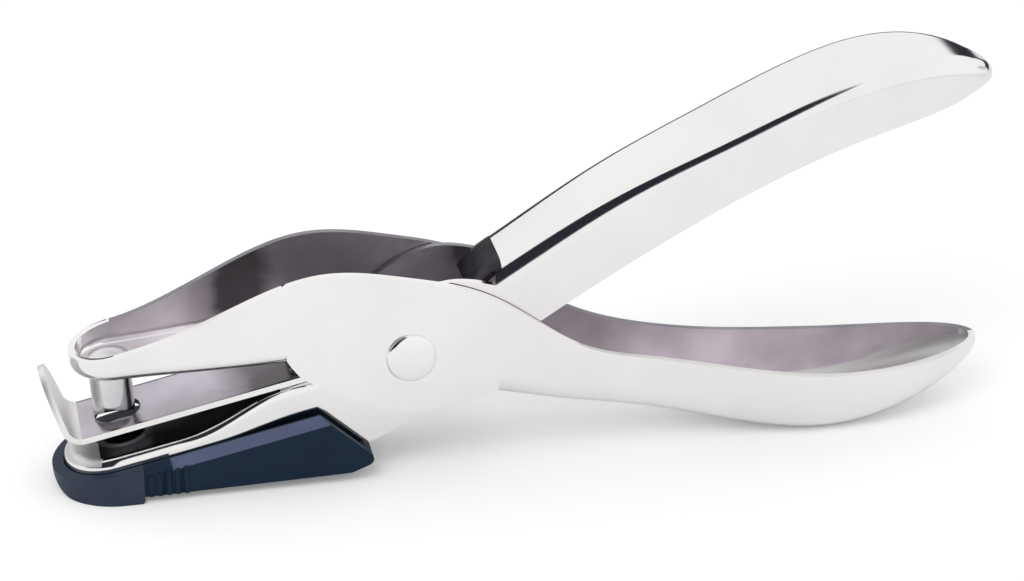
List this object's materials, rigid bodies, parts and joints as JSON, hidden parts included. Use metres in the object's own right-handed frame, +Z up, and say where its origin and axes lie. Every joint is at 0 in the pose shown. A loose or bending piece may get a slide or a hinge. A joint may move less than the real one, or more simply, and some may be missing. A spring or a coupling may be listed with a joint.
{
  "type": "hand hole punch",
  "caption": "Hand plier punch: stamped levers hinged on a rivet, a round punch pin over a die, a stripper plate with a paper lip and a soft chip cup under the jaw.",
  "frame": {"origin": "middle of the bounding box's bottom, on the table", "axes": "+X from the jaws to the handles, +Z up, XZ the middle plane of the levers"},
  "size_m": [0.1381, 0.0186, 0.0569],
  "materials": {
    "plated_steel": "bright nickel-chrome plate on pressed steel",
    "tool_steel": "ground, bright",
    "spring_steel": "drawn wire",
    "cup_rubber": "smooth matte navy"
  },
  "bodies": {
    "die_lever": {"die_lever": "plated_steel", "die_bush": "tool_steel", "stripper_plate": "plated_steel", "stripper_rivets": "plated_steel", "pivot_bush": "tool_steel", "return_spring": "spring_steel"},
    "punch_lever": {"punch_lever": "plated_steel", "punch_pin": "tool_steel", "pivot_rivet": "plated_steel"},
    "chip_cup": {"chip_cup": "cup_rubber"}
  },
  "joints": [
    {"name": "punch_lever_hinge", "type": "hinge", "parent": "die_lever", "child": "punch_lever", "pos_m": [-0.0171, 0, 0.0185], "axis": [0, -1, 0], "range_deg": [0, 9], "stiffness_Nm_per_rad": 1.5, "springref_deg": -17.19, "deforming": ["return_spring"]},
    {"name": "chip_cup_slide", "type": "slide", "parent": "die_lever", "child": "chip_cup", "axis": [0, 0, -1], "range_m": [0, 0.015]}
  ]
}
